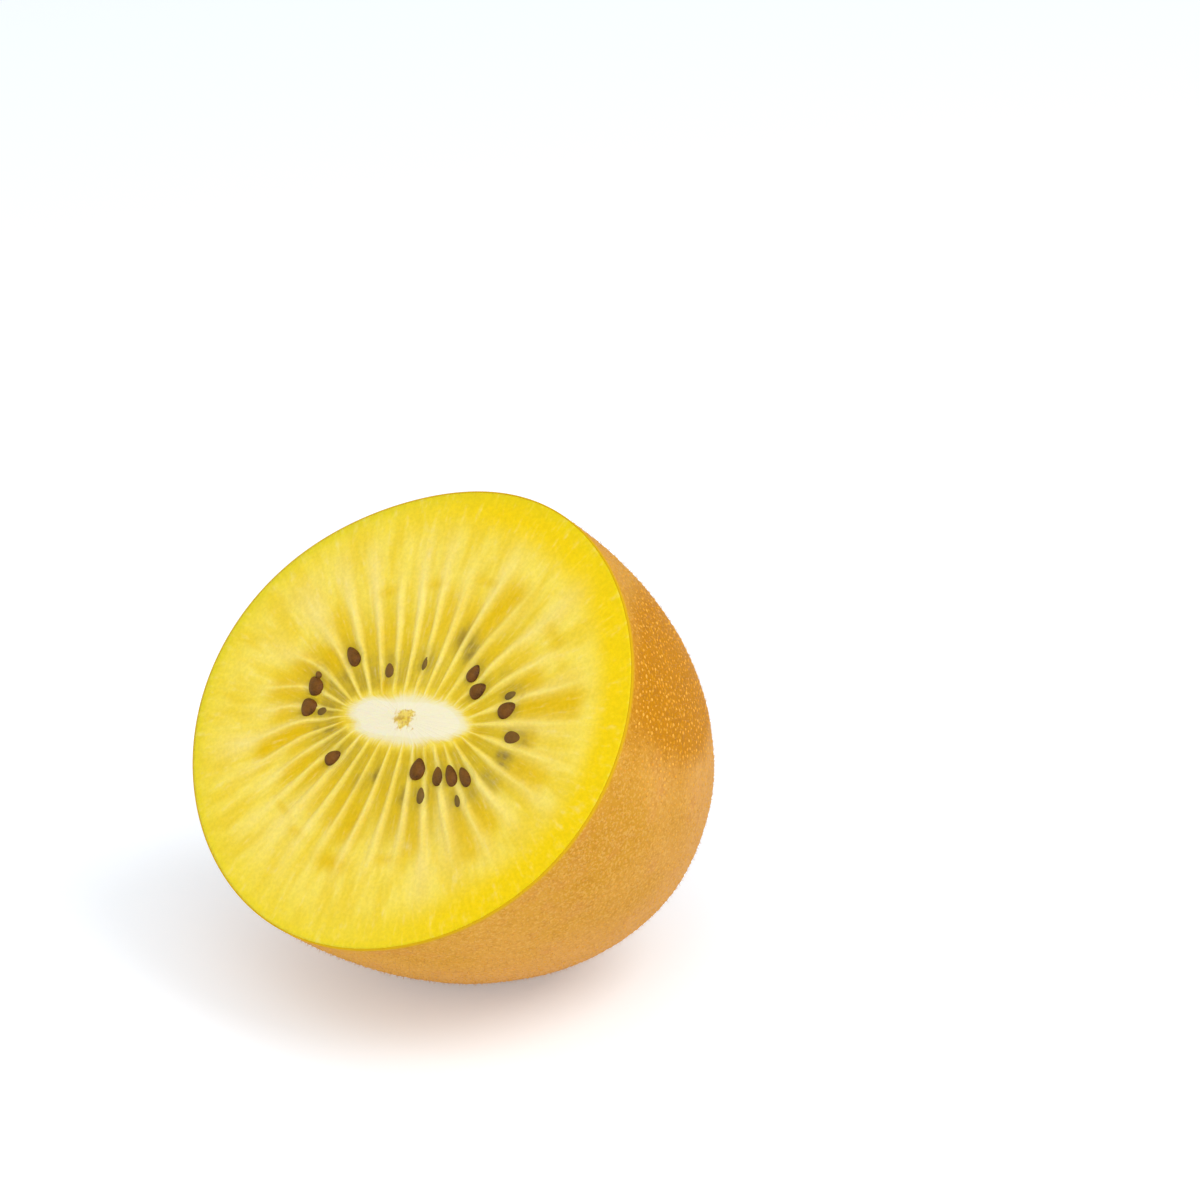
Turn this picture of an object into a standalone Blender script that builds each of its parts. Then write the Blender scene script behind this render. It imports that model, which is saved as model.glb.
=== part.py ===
"""One half of a golden kiwi fruit, cut straight across and lying on its skin with the cut face tilted up.

The fruit is one solid. It is shaped in its own frame, with the centre of the cut face at the origin, the
cut face towards +Z and the stem end towards -Z, and is then tipped back and set down on a small flat spot.
Angles run round the fruit's axis from +X. A station runs across the cut face, from 0 at the edge of the
white core to 1 at the skin.
"""

import math

import bmesh
import bpy
from mathutils import Matrix, Vector

MM = 0.001

# The half as a whole
MEAN_RADIUS = 26.0 * MM
LENGTH = 36.0 * MM
PROFILE_POWER = 2.4
# Each wave of the section is its share of the radius, its count round the fruit and the angle of its crest.
SECTION_WAVES = ((0.051, 2, 13.8), (0.010, 3, 69.8), (0.008, 4, 83.8))

# How it lies
TILT = math.radians(50.8)
CUT_CENTRE = (0.7 * MM, -10.9 * MM, 31.2 * MM)
TABLE_BLOCK = (60.0 * MM, 60.0 * MM, 12.0 * MM)

# The white core, an oval a little off the middle of the cut face
CORE_CENTRE = Vector((0.2 * MM, -0.4 * MM, 0.0))
CORE_HALF_LENGTH = 8.2 * MM
CORE_HALF_WIDTH = 2.75 * MM
CORE_TURN = math.radians(11.0)
CORE_RISE = 0.25 * MM

# The ring of locules round it, and the pale walls between them, whose spacing is a little uneven
LOCULES = 32
WALL_OFFSET = math.radians(7.1)
WALL_WAVES = ((math.radians(4.4), 1, 116.0), (math.radians(3.7), 2, 52.0), (math.radians(2.1), 3, 49.0))
LOCULE_REACH = 0.7
LOCULE_DEPTH = 0.35 * MM

# The seeds that the cut laid bare: angle, station, direction of the long axis, length, width
SEEDS = (
    (8, 0.30, 13, 2.2, 1.3),
    (27, 0.23, 47, 2.4, 1.9),
    (36, 0.27, 40, 1.6, 0.9),
    (53, 0.13, 52, 2.1, 1.8),
    (65, 0.18, 85, 2.1, 1.6),
    (101, 0.16, 104, 1.6, 0.9),
    (125, 0.13, 124, 1.8, 1.1),
    (148, 0.27, 149, 2.5, 1.4),
    (177, 0.28, 143, 2.5, 1.8),
    (191, 0.26, 148, 2.2, 1.9),
    (193, 0.15, 26, 1.5, 0.9),
    (237, 0.18, 46, 2.2, 1.6),
    (301, 0.11, 110, 2.5, 1.8),
    (303, 0.24, 116, 1.8, 1.0),
    (314, 0.16, 119, 2.3, 1.3),
    (323, 0.18, 137, 2.6, 1.4),
    (323, 0.32, 132, 1.7, 0.9),
    (331, 0.22, 143, 2.4, 1.3),
)
SEED_THICKNESS = 1.4 * MM
SEED_SINK = 0.2 * MM
SEED_SUBDIVISIONS = 2

# The stem end: a shallow dimple with the dry ring that the stalk left
DIMPLE_DEPTH = 0.9 * MM
DIMPLE_RADIUS = 5.0 * MM
SCAR_RADIUS = 2.7 * MM
SCAR_THICKNESS = 1.5 * MM
SCAR_PROUD = 0.35 * MM
SCAR_SEGMENTS = 24
SCAR_SIDES = 8

# Columns and rings of the surface
COLUMNS_PER_LOCULE = 3
CORE_ROWS = 3
FACE_ROWS = 13
SKIN_ROWS = 19
TIP_CROWDING = 0.1
SHARP_ANGLE = math.radians(40.0)


def clear_scene():
    for item in list(bpy.data.objects):
        bpy.data.objects.remove(item, do_unlink=True)


def new_collection(name):
    collection = bpy.data.collections.new(name)
    bpy.context.scene.collection.children.link(collection)
    return collection


def new_material(name, color, roughness):
    material = bpy.data.materials.new(name)
    material.use_nodes = True
    shader = material.node_tree.nodes["Principled BSDF"]
    shader.inputs["Base Color"].default_value = (*color, 1.0)
    shader.inputs["Roughness"].default_value = roughness
    shader.inputs["Metallic"].default_value = 0.0
    return material


def new_object(name, mesh, collection):
    item = bpy.data.objects.new(name, mesh)
    collection.objects.link(item)
    return item


def waves(angle, terms):
    return sum(size * math.cos(count * (angle - math.radians(crest))) for size, count, crest in terms)


def section_radius(angle):
    """Radius of the cut face, a soft oval as it grew."""
    return MEAN_RADIUS * (1.0 + waves(angle, SECTION_WAVES))


def wall_angle(locule):
    """Angle of the wall before this locule. A fraction lies between two walls."""
    even = 2.0 * math.pi * locule / LOCULES
    return even + WALL_OFFSET + waves(even, WALL_WAVES)


def core_point(angle, share):
    """Point of the core's oval, at this share of the way from its centre to its edge."""
    across = CORE_HALF_LENGTH * share * math.cos(angle - CORE_TURN)
    up = CORE_HALF_WIDTH * share * math.sin(angle - CORE_TURN)
    return CORE_CENTRE + Matrix.Rotation(CORE_TURN, 3, "Z") @ Vector((across, up, 0.0))


def flesh_point(angle, station):
    rim = section_radius(angle) * Vector((math.cos(angle), math.sin(angle), 0.0))
    return core_point(angle, 1.0).lerp(rim, station)


def face_vertex(column, row):
    """Point of the cut face: the core stands a little proud, and each locule is sunk between its walls."""
    angle = wall_angle(column / COLUMNS_PER_LOCULE)
    if row <= CORE_ROWS:
        share = row / CORE_ROWS
        return core_point(angle, share) + Vector((0.0, 0.0, CORE_RISE * (1.0 - share**2)))
    station = (row - CORE_ROWS) / (FACE_ROWS - CORE_ROWS)
    point = flesh_point(angle, station)
    in_locule = column % COLUMNS_PER_LOCULE != 0 and station < LOCULE_REACH
    if in_locule:
        point.z -= LOCULE_DEPTH * math.sin(math.pi * station / LOCULE_REACH)
    return point


def skin_vertex(column, row):
    """Point of the skin, on a superellipse from the cut to the stem end, with the dimple pressed in."""
    angle = wall_angle(column / COLUMNS_PER_LOCULE)
    share = (row - FACE_ROWS) / SKIN_ROWS
    turn = 0.5 * math.pi * (share + TIP_CROWDING * math.sin(math.pi * share))
    radius = section_radius(angle) * max(math.cos(turn), 0.0) ** (2.0 / PROFILE_POWER)
    depth = LENGTH * min(math.sin(turn), 1.0) ** (2.0 / PROFILE_POWER)
    depth -= DIMPLE_DEPTH * math.exp(-((radius / DIMPLE_RADIUS) ** 2))
    return Vector((radius * math.cos(angle), radius * math.sin(angle), -depth))


def make_half(collection, materials):
    """A sphere whose upper rings are laid out over the cut face, and whose lower rings become the skin."""
    columns = COLUMNS_PER_LOCULE * LOCULES
    rows = FACE_ROWS + SKIN_ROWS
    shape = bmesh.new()
    bmesh.ops.create_uvsphere(shape, u_segments=columns, v_segments=rows, radius=1.0)
    row_of = {}
    for vertex in shape.verts:
        x, y, z = vertex.co
        row = round(math.acos(max(-1.0, min(1.0, z))) / math.pi * rows)
        column = round(math.atan2(y, x) / (2.0 * math.pi) * columns) % columns
        place = face_vertex if row <= FACE_ROWS else skin_vertex
        vertex.co = place(column, row)
        row_of[vertex] = row
    for face in shape.faces:
        last_row = max(row_of[vertex] for vertex in face.verts)
        if last_row <= CORE_ROWS:
            face.material_index = list(materials).index("core")
        elif last_row <= FACE_ROWS:
            face.material_index = list(materials).index("flesh")
    mesh = bpy.data.meshes.new("kiwi_half")
    shape.to_mesh(mesh)
    shape.free()
    for material in materials.values():
        mesh.materials.append(material)
    return new_object("kiwi_half", mesh, collection)


def make_seed(spec, collection, material):
    """A flat oval bead, sunk in its locule so that about a third of it stands out."""
    angle, station, direction, length, width = spec
    place = flesh_point(math.radians(angle), station)
    place.z = -SEED_SINK - LOCULE_DEPTH * math.sin(math.pi * station / LOCULE_REACH)
    size = Matrix.Diagonal((length * MM / 2.0, width * MM / 2.0, SEED_THICKNESS / 2.0, 1.0))
    turned = Matrix.Rotation(math.radians(direction), 4, "Z") @ size
    shape = bmesh.new()
    bmesh.ops.create_icosphere(shape, subdivisions=SEED_SUBDIVISIONS, radius=1.0)
    bmesh.ops.transform(shape, matrix=Matrix.Translation(place) @ turned, verts=shape.verts)
    mesh = bpy.data.meshes.new("seed")
    shape.to_mesh(mesh)
    shape.free()
    mesh.materials.append(material)
    return new_object("seed", mesh, collection)


def make_stem_scar(collection, material):
    """The ring of dry tissue in the dimple, half sunk in the skin."""
    ring_shrink = math.exp(-((SCAR_RADIUS / DIMPLE_RADIUS) ** 2))
    skin_depth = LENGTH - DIMPLE_DEPTH * ring_shrink
    bpy.ops.mesh.primitive_torus_add(
        major_radius=SCAR_RADIUS,
        minor_radius=SCAR_THICKNESS / 2.0,
        major_segments=SCAR_SEGMENTS,
        minor_segments=SCAR_SIDES,
        location=(0.0, 0.0, -skin_depth - SCAR_PROUD + SCAR_THICKNESS / 2.0),
    )
    scar = bpy.context.object
    scar.name = "stem_scar"
    scar.data.materials.append(material)
    for owner in list(scar.users_collection):
        owner.objects.unlink(scar)
    collection.objects.link(scar)
    return scar


def fuse(half, additions):
    """Joins a collection's objects to the half in one Boolean union, and removes them."""
    union = half.modifiers.new("grown together", "BOOLEAN")
    union.operation = "UNION"
    union.operand_type = "COLLECTION"
    union.collection = additions
    union.solver = "EXACT"
    union.material_mode = "TRANSFER"
    graph = bpy.context.evaluated_depsgraph_get()
    fused = bpy.data.meshes.new_from_object(half.evaluated_get(graph), depsgraph=graph)
    fused.name = half.name
    half.modifiers.remove(union)
    half.data = fused
    for item in list(additions.objects):
        bpy.data.objects.remove(item, do_unlink=True)
    bpy.data.collections.remove(additions)


def cut_rest_spot(half, cutters):
    """Takes a thin cap off the skin where the half lies, so that it rests on a small flat spot."""
    shape = bmesh.new()
    bmesh.ops.create_cube(shape, size=1.0)
    bmesh.ops.scale(shape, vec=TABLE_BLOCK, verts=shape.verts)
    mesh = bpy.data.meshes.new("table_block")
    shape.to_mesh(mesh)
    shape.free()
    block = new_object("table_block", mesh, cutters)
    block.location = (0.0, 0.0, -TABLE_BLOCK[2] / 2.0)
    block.hide_render = True
    block.display_type = "WIRE"
    cut = half.modifiers.new("rest spot", "BOOLEAN")
    cut.operation = "DIFFERENCE"
    cut.object = block
    cut.solver = "EXACT"


def build():
    clear_scene()
    fruit = new_collection("golden_kiwi_half")
    cutters = new_collection("cutters")
    additions = new_collection("additions")
    materials = {
        "skin": new_material("fruit skin", (0.45, 0.24, 0.06), 0.6),
        "flesh": new_material("golden flesh", (0.90, 0.70, 0.05), 0.35),
        "core": new_material("white core", (0.92, 0.88, 0.72), 0.45),
    }
    half = make_half(fruit, materials)
    seed_coat = new_material("seed coat", (0.10, 0.045, 0.03), 0.3)
    for spec in SEEDS:
        make_seed(spec, additions, seed_coat)
    make_stem_scar(additions, new_material("dry scar", (0.30, 0.17, 0.06), 0.8))
    fuse(half, additions)
    half.data.shade_smooth()
    half.data.set_sharp_from_angle(angle=SHARP_ANGLE)
    half.rotation_euler = (TILT, 0.0, 0.0)
    half.location = CUT_CENTRE
    cut_rest_spot(half, cutters)


build()
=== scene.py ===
"""Looks of one half of a golden kiwi fruit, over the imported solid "kiwi_half".

Each piece is shaped in the fruit's own frame, with the centre of the cut face at the origin, the cut face
towards +Z and the stem end towards -Z, and is then tipped back and set down where the solid lies. Angles run
round the fruit's axis from +X. A station runs across the cut face, from 0 at the edge of the white core to
1 at the skin.
"""

import math

import bmesh
import bpy
import numpy as np
from mathutils import Matrix, Vector, noise


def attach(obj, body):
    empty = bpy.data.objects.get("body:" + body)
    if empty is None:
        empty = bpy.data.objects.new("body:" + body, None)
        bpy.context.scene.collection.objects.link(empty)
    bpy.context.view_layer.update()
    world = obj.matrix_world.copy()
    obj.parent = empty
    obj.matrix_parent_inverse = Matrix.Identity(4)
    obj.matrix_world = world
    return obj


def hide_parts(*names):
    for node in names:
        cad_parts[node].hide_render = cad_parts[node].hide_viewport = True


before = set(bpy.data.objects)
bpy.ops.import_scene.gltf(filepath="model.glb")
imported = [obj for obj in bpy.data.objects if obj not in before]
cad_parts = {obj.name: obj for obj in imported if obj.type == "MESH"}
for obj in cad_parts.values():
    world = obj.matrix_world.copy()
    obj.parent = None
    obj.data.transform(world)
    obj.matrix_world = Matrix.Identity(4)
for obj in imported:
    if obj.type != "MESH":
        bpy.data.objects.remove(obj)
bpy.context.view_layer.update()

# The flesh
# All that the knife laid bare is one soft, moist body: firm outer flesh, a ring of locules filled with pulp
# with pale walls between them, and the white core. It grew as one piece with the skin and fills it.
MM = 0.001
MEAN_RADIUS = 26.0 * MM
LENGTH = 36.0 * MM
PROFILE_POWER = 2.4
SECTION_WAVES = ((0.051, 2, 13.8), (0.010, 3, 69.8), (0.008, 4, 83.8))
TILT = math.radians(50.8)
CUT_CENTRE = Vector((0.7, -10.9, 31.2)) * MM
SKIN_THICKNESS = 0.14 * MM
CORE_CENTRE = (0.2 * MM, -0.4 * MM)
CORE_HALF_LENGTH = 8.2 * MM
CORE_HALF_WIDTH = 2.75 * MM
CORE_TURN = math.radians(11.0)
CORE_RISE = 0.22 * MM
CORE_FADE = 1.15 * MM
PITH_RADIUS = 1.35 * MM
# Where the pulp's yellow reaches into the core: angle, how far in millimetres
CORE_NOTCHES = ((35, 0.3), (128, 0.7), (165, 0.3), (188, 0.5), (213, 1.0), (318, 0.7), (345, 0.4))
LOCULES = 32
WALL_OFFSET = math.radians(7.1)
WALL_WAVES = ((math.radians(4.4), 1, 116.0), (math.radians(3.7), 2, 52.0), (math.radians(2.1), 3, 49.0))
# How far the walls bend round on their way out to the skin: angle, bend in degrees
WALL_BENDS = (
    (0, 0), (30, -3), (47, -5), (73, -4), (98, 3), (110, 2), (150, 0), (182, 10), (199, 6), (211, 6),
    (240, 0), (268, -3), (300, 0), (335, 4), (360, 0),
)
BROAD_WALLS = (16, 243, 313)
LOCULE_DEPTH = 0.22 * MM
WALL_HEIGHT = 0.03 * MM
OUTER_SWELL = 0.08 * MM
# The knife's slight waves across the face: height in millimetres, number round the fruit, angle of a crest
KNIFE_WAVES = ((0.10, 3, 20.0), (0.06, 5, 70.0))
FACE_COLUMNS = 28 * LOCULES
CORE_ROWS = 12
FLESH_ROWS = 80
EDGE_ROWS = 3
UNDER_ROWS = 12
EDGE_ROUNDING = 0.02 * MM
# The flesh ends this far above the stem end, inside the skin
STEM_GAP = 1.5 * MM
LOCULE_SEED = 7
rng = np.random.default_rng(LOCULE_SEED)

# Directions in which the face's colours change from one side of the fruit to the other
PALE_SIDE = math.radians(100)
DULL_SIDE = math.radians(180)
SHADED_SIDE = math.radians(325)
# The rim is painted brighter and wider on this side, a painted glow of light shining through the flesh's edge
RIM_GLOW_SIDE = math.radians(25)
GREEN_SIDE = math.radians(135)
NOTCH_WIDTH = math.radians(13)
TOOTH_DEPTH = 0.5 * MM
# The pulp sinks and darkens in an ellipse round each bare seed: half its length and half its width
DISH_SIZE = (1.7 * MM, 1.2 * MM)
SHADE_SIZE = (1.7 * MM, 1.3 * MM)
# A hidden seed's dark place is this much longer and narrower than the size in its table
HIDDEN_STRETCH = (1.25, 0.75)

# Locules whose pulp has a deeper colour: angle, stations where it starts and ends, depth of colour
DEEP_LOCULES = (
    (3, 0.02, 0.12, 0.7), (8, 0.34, 0.48, 0.8), (23, 0.28, 0.74, 1.0), (37, 0.28, 0.52, 0.8),
    (37, 0.56, 0.62, 0.3), (51, 0.30, 0.50, 0.5), (48, 0.57, 0.64, 0.6), (64, 0.24, 0.40, 0.6),
    (73, 0.34, 0.68, 0.9), (84, 0.26, 0.52, 0.7), (83, 0.56, 0.60, 0.6), (96, 0.28, 0.57, 0.6),
    (105, 0.28, 0.42, 0.5), (106, 0.52, 0.56, 0.6), (114, 0.20, 0.30, 0.3),
    (127, 0.22, 0.42, 0.5), (127, 0.52, 0.56, 0.5),
    (139, 0.20, 0.42, 0.35), (149, 0.32, 0.60, 0.55), (159, 0.20, 0.44, 0.9), (171, 0.30, 0.52, 0.9),
    (184, 0.30, 0.58, 0.9), (196, 0.32, 0.52, 0.85), (209, 0.22, 0.62, 1.0), (217, 0.28, 0.42, 0.6),
    (226, 0.24, 0.50, 0.8), (237, 0.22, 0.38, 0.7), (238, 0.53, 0.56, 0.6), (249, 0.20, 0.52, 0.55),
    (250, 0.56, 0.60, 0.6), (262, 0.22, 0.52, 0.7), (271, 0.30, 0.55, 0.8), (270, 0.58, 0.67, 0.9),
    (281, 0.16, 0.42, 0.5), (292, 0.28, 0.50, 0.5), (292, 0.54, 0.59, 0.6), (302, 0.36, 0.60, 0.7),
    (311, 0.20, 0.32, 0.4), (322, 0.38, 0.72, 0.8), (331, 0.36, 0.64, 0.8), (343, 0.34, 0.46, 0.4),
    (355, 0.34, 0.68, 0.8), (285, 0.00, 0.10, 0.4), (305, 0.00, 0.10, 0.5), (322, 0.00, 0.10, 0.7),
    (345, 0.00, 0.12, 0.6), (128, 0.00, 0.10, 0.9), (60, 0.00, 0.10, 0.5), (38, 0.00, 0.10, 0.5),
    (75, 0.00, 0.12, 0.4), (213, 0.00, 0.06, 0.6), (263, 0.00, 0.12, 0.4),
)
# The seeds that the cut laid bare: angle, station, direction of the long axis, length, width, depth sunk
SEEDS = (
    (8, 0.30, 10, 2.6, 1.6, 0.42),
    (27, 0.23, 47, 2.3, 1.8, 0.25),
    (36, 0.27, 40, 2.1, 1.2, 0.62),
    (54, 0.13, 52, 2.1, 1.7, 0.25),
    (66, 0.18, 85, 2.1, 1.5, 0.25),
    (101, 0.16, 104, 2.2, 1.0, 0.62),
    (125.5, 0.13, 124, 2.2, 1.3, 0.48),
    (148.5, 0.265, 149, 2.9, 1.5, 0.3),
    (171, 0.31, 150, 1.2, 0.8, 0.4),
    (177, 0.28, 143, 2.5, 1.8, 0.25),
    (191, 0.26, 148, 2.3, 2.0, 0.3),
    (193, 0.15, 26, 1.9, 1.2, 0.58),
    (237, 0.18, 46, 2.2, 1.6, 0.3),
    (300, 0.11, 110, 2.5, 1.8, 0.22),
    (303, 0.24, 116, 2.6, 1.2, 0.56),
    (314, 0.16, 119, 2.3, 1.3, 0.35),
    (323, 0.18, 137, 2.8, 1.35, 0.3),
    (323, 0.32, 132, 2.5, 1.0, 0.62),
    (331, 0.22, 143, 2.7, 1.25, 0.33),
)
# Seeds that lie under the surface and only darken the pulp: angle, station, size in millimetres, darkness
HIDDEN_SEEDS = (
    (36, 0.26, 1.2, 0.6), (50, 0.28, 0.8, 0.3), (75, 0.25, 1.2, 0.8), (79, 0.29, 1.1, 0.7),
    (84, 0.30, 1.3, 0.75), (87, 0.25, 0.8, 0.3), (92, 0.15, 1.0, 0.35), (101, 0.17, 1.3, 0.45),
    (111, 0.10, 1.0, 0.4), (125, 0.15, 1.4, 0.5), (141, 0.12, 1.1, 0.35), (158, 0.16, 1.3, 0.6),
    (168, 0.17, 1.1, 0.7), (178, 0.10, 1.0, 0.4), (190, 0.13, 1.4, 0.7), (194, 0.16, 1.2, 0.6),
    (203, 0.13, 1.2, 0.45), (209, 0.18, 0.8, 0.5), (214, 0.11, 0.7, 0.9), (224, 0.15, 1.1, 0.4),
    (264, 0.21, 1.1, 0.6), (273, 0.16, 0.9, 0.8), (270, 0.18, 1.0, 0.4), (282, 0.14, 1.1, 0.3),
    (294, 0.25, 1.2, 0.7), (303, 0.25, 1.4, 0.6), (312, 0.24, 1.1, 0.35), (323, 0.31, 1.4, 0.6),
    (331, 0.32, 1.3, 0.5), (342, 0.33, 1.5, 0.55), (352, 0.32, 1.0, 0.8), (356, 0.30, 1.1, 0.9),
    (6, 0.36, 1.2, 0.6), (10, 0.33, 1.4, 0.5),
)


def waves(angle, terms):
    return sum(size * np.cos(count * (angle - math.radians(crest))) for size, count, crest in terms)


def section_radius(angle):
    return MEAN_RADIUS * (1.0 + waves(angle, SECTION_WAVES))


def wall_angle(locule):
    even = 2.0 * math.pi * locule / LOCULES
    return even + WALL_OFFSET + waves(even, WALL_WAVES)


def core_point(angle, share):
    across = CORE_HALF_LENGTH * share * np.cos(angle - CORE_TURN)
    up = CORE_HALF_WIDTH * share * np.sin(angle - CORE_TURN)
    x = CORE_CENTRE[0] + across * math.cos(CORE_TURN) - up * math.sin(CORE_TURN)
    y = CORE_CENTRE[1] + across * math.sin(CORE_TURN) + up * math.cos(CORE_TURN)
    return x, y


def face_point(angle, station, rim_radius):
    """Point of the cut face, on the straight line from the core's edge to the rim at this angle."""
    x, y = core_point(angle, 1.0)
    x = x + station * (rim_radius * np.cos(angle) - x)
    y = y + station * (rim_radius * np.sin(angle) - y)
    return x, y


def smooth_step(low, high, value):
    share = np.clip((value - low) / (high - low), 0.0, 1.0)
    return share * share * (3.0 - 2.0 * share)


def plateau(value, rise, fall):
    """1 from the end of the rise to the start of the fall, and 0 before and after them."""
    return smooth_step(*rise, value) * (1.0 - smooth_step(*fall, value))


def bump(distance, width):
    return np.exp(-((distance / width) ** 2))


def turned(angle, other):
    """Size of the turn between two directions."""
    return np.abs((angle - other + math.pi) % (2.0 * math.pi) - math.pi)


def on_side(angle, side, none, full):
    """1 on one side of the fruit and 0 away from it. Full and none are turns from it in degrees."""
    return smooth_step(math.radians(none), math.radians(full), turned(angle, side))


def locule_number(angle, station):
    """How many locules round the fruit a place is. The whole numbers are the walls."""
    numbers = np.linspace(-2.0, LOCULES + 2.0, 60 * LOCULES)
    bend_angle, bend = np.radians(np.array(WALL_BENDS, dtype=float)).T
    bent = np.interp(angle, bend_angle, bend) * smooth_step(0.2, 0.65, station)
    return np.interp(angle - bent, wall_angle(numbers), numbers)


def near_seed(x, y, seed_angle, station, along_size, across_size):
    """1 at a seed, falling to 0 round it in an ellipse that points outwards."""
    angle = math.radians(seed_angle)
    seed_x, seed_y = face_point(angle, station, section_radius(angle))
    along = (x - seed_x) * math.cos(angle) + (y - seed_y) * math.sin(angle)
    across = (y - seed_y) * math.cos(angle) - (x - seed_x) * math.sin(angle)
    return np.exp(-((along / along_size) ** 2) - (across / across_size) ** 2)


def paint_face(x, y, angle, station, core_share):
    """Masks for the colours of the cut face, and its height at each point."""
    locule = locule_number(angle, station)
    room = np.floor(locule).astype(int)
    room_number = room % LOCULES
    off_wall = np.abs(locule - np.rint(locule))

    breadth = rng.uniform(0.8, 1.25, LOCULES)
    for broad in BROAD_WALLS:
        breadth[int(np.rint(locule_number(math.radians(broad), 0.4))) % LOCULES] = 1.9
    strength = rng.uniform(0.55, 1.0, LOCULES)
    ends = rng.uniform(0.66, 0.92, LOCULES)
    crest = np.zeros_like(angle)
    wall = np.zeros_like(angle)
    for side in (room, room + 1):
        off_side = np.abs(locule - side)
        end = ends[side % LOCULES]
        fade = plateau(station, (-0.01, 0.02), (end - 0.3, end + 0.05))
        ridge = bump(off_side, 0.05 + 0.07 * station) * fade
        flank = bump(off_side, (0.08 + 0.32 * station) * breadth[side % LOCULES]) * fade
        crest = np.maximum(crest, ridge)
        wall = np.maximum(wall, np.maximum(0.9 * ridge, 0.95 * flank) * strength[side % LOCULES])
    wall = wall * (0.65 + 0.35 * smooth_step(0.1, 0.4, station))

    in_room = smooth_step(0.04, 0.30, off_wall)
    room_end = rng.uniform(0.45, 0.62, LOCULES)[room_number]
    pulp = in_room * plateau(station, (0.0, 0.05), (room_end - 0.25, room_end + 0.05))
    pulp = pulp * (1.0 - 0.3 * bump(turned(angle, PALE_SIDE), math.radians(45)))
    gold = np.zeros_like(angle)
    for deep_angle, start, stop, depth in DEEP_LOCULES:
        middle = locule_number(math.radians(deep_angle), 0.5 * (start + stop))
        in_middle = bump(np.abs((locule - middle + LOCULES / 2) % LOCULES - LOCULES / 2), 0.62)
        soft = min(0.10, 0.5 * (stop - start))
        along = plateau(station, (start - soft, start + soft), (stop - soft, stop + 0.03))
        gold = np.maximum(gold, depth * in_middle * along * smooth_step(-0.06, 0.12, off_wall))
    wall = wall * (1.0 - 0.85 * gold)

    # The pulp is olive near the core, most on two sides of the fruit, and round every seed, bare or hidden
    dull = 0.2 + 0.8 * on_side(angle, DULL_SIDE, 110, 40)
    shaded = on_side(angle, SHADED_SIDE, 90, 15)
    olive = 0.40 * dull * (1.0 - smooth_step(0.12, 0.32, station))
    olive = olive + 0.16 * shaded * (1.0 - smooth_step(0.35, 0.6, station))
    olive = olive * smooth_step(0.0, 0.07, station)
    for hidden_angle, at, size, darkness in HIDDEN_SEEDS:
        half_sizes = [stretch * size * MM for stretch in HIDDEN_STRETCH]
        olive = np.maximum(olive, darkness * near_seed(x, y, hidden_angle, at, *half_sizes))
    bare = np.zeros_like(angle)
    for seed_angle, at, *_ in SEEDS:
        olive = np.maximum(olive, 0.55 * near_seed(x, y, seed_angle, at, *SHADE_SIZE))
        bare = np.maximum(bare, near_seed(x, y, seed_angle, at, *DISH_SIZE))
    bare = smooth_step(0.15, 0.6, bare)
    olive *= 0.35 + 0.65 * smooth_step(0.04, 0.26, off_wall)

    # Painted light: the rim's yellow is painted brighter and wider on one side, as light shining through the
    # flesh's edge
    rim_glow = on_side(angle, RIM_GLOW_SIDE, 115, 60)
    rim = smooth_step(0.73 - 0.06 * rim_glow, 0.95, station) * (0.55 + 0.45 * rim_glow)
    rim = np.maximum(rim, smooth_step(0.9, 1.0, station))
    green = smooth_step(0.9, 1.0, station) * on_side(angle, GREEN_SIDE, 110, 50)

    # How far a place lies outside the core's edge, which has dents where pulp meets it and teeth at the walls
    core_x, core_y = core_point(angle, core_share)
    from_middle = np.hypot(core_x - CORE_CENTRE[0], core_y - CORE_CENTRE[1])
    core_radius = from_middle / np.maximum(core_share, 1.0e-6)
    beyond = (core_share - 1.0) * core_radius + station * (section_radius(angle) - core_radius)
    for notch_angle, depth in CORE_NOTCHES:
        beyond = beyond + depth * MM * bump(turned(angle, math.radians(notch_angle)), NOTCH_WIDTH)
    beyond = beyond - TOOTH_DEPTH * crest
    core = 1.0 - smooth_step(-CORE_FADE, 0.7 * CORE_FADE, beyond)

    sink = plateau(station, (-0.02, 0.10), (0.35, 0.72))
    deep = rng.uniform(0.7, 1.2, LOCULES)[room_number]
    dome = 1.0 - (2.0 * (0.5 - off_wall)) ** 2
    sunk_room = np.maximum(smooth_step(0.05, 0.24, off_wall) * (1.0 - 0.3 * dome), 1.2 * bare)
    height = CORE_RISE * (1.0 - core_share**2) + WALL_HEIGHT * crest * (1.0 - bare)
    height = height - LOCULE_DEPTH * deep * sink * sunk_room + OUTER_SWELL * bump(station - 0.8, 0.2)
    height = height + waves(angle, KNIFE_WAVES) * MM * station * (1.0 - station)
    # The middle mask is 1 at the pith's edge and more outside it. Past the core the station keeps it high
    middle = (from_middle + station) / PITH_RADIUS
    masks = {
        "core": core, "wall": wall, "pulp": pulp, "gold": gold, "olive": olive, "rim": rim, "green": green,
        "rim_glow": rim_glow, "middle": middle,
    }
    return masks, height


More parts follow.
